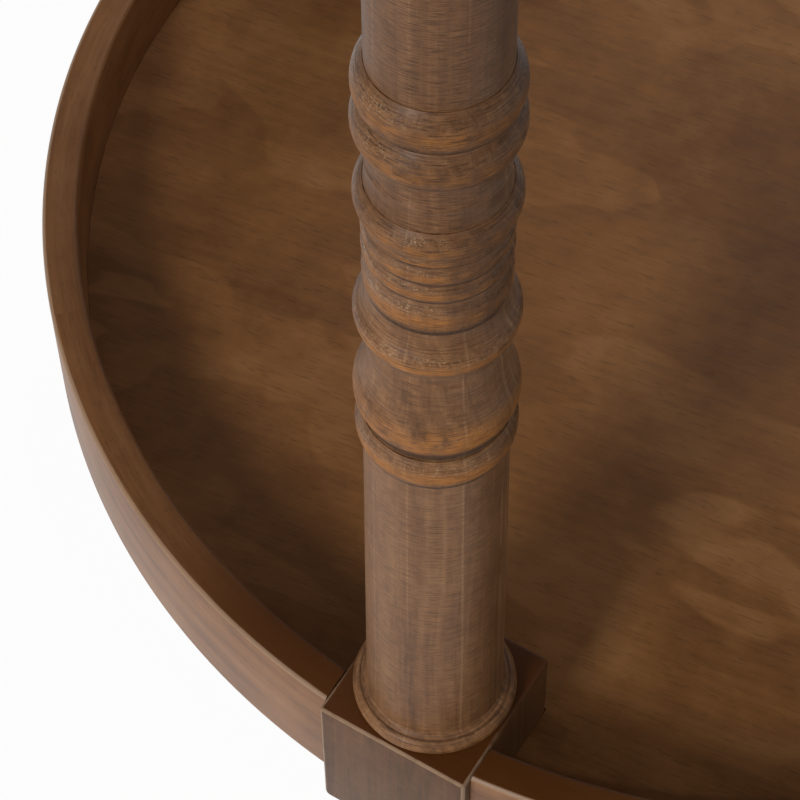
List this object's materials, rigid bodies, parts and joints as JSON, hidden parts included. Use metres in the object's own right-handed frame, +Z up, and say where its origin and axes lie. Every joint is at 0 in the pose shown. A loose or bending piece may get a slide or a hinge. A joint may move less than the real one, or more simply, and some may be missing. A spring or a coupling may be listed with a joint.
{
  "type": "round side table",
  "caption": "Round two-tier side table with rimmed trays, turned spindle legs with stacked beads, square leg blocks let into the rims, and turned feet on floor glides.",
  "frame": {"origin": "on the floor, on the axis of the trays", "axes": "+Z up along the axis of the trays; the legs stand 105, 225 and 345 degrees round from +X"},
  "size_m": [0.52, 0.52, 0.649],
  "materials": {
    "turned_wood": "satin stain",
    "frame_wood": "satin stain",
    "veneer": "satin stain",
    "dowel": "raw",
    "glide": "matt"
  },
  "bodies": {
    "root": {"spindle_1": "turned_wood", "foot_1": "turned_wood", "lower_block_1": "frame_wood", "upper_block_1": "frame_wood", "lower_rim_1": "frame_wood", "upper_rim_1": "frame_wood", "spindle_2": "turned_wood", "foot_2": "turned_wood", "lower_block_2": "frame_wood", "upper_block_2": "frame_wood", "lower_rim_2": "frame_wood", "upper_rim_2": "frame_wood", "spindle_3": "turned_wood", "foot_3": "turned_wood", "lower_block_3": "frame_wood", "upper_block_3": "frame_wood", "lower_rim_3": "frame_wood", "upper_rim_3": "frame_wood", "lower_panel": "veneer", "lower_rim_dowels": "dowel", "lower_panel_dowels": "dowel", "upper_panel": "veneer", "upper_rim_dowels": "dowel", "upper_panel_dowels": "dowel", "glides": "glide"}
  },
  "joints": []
}
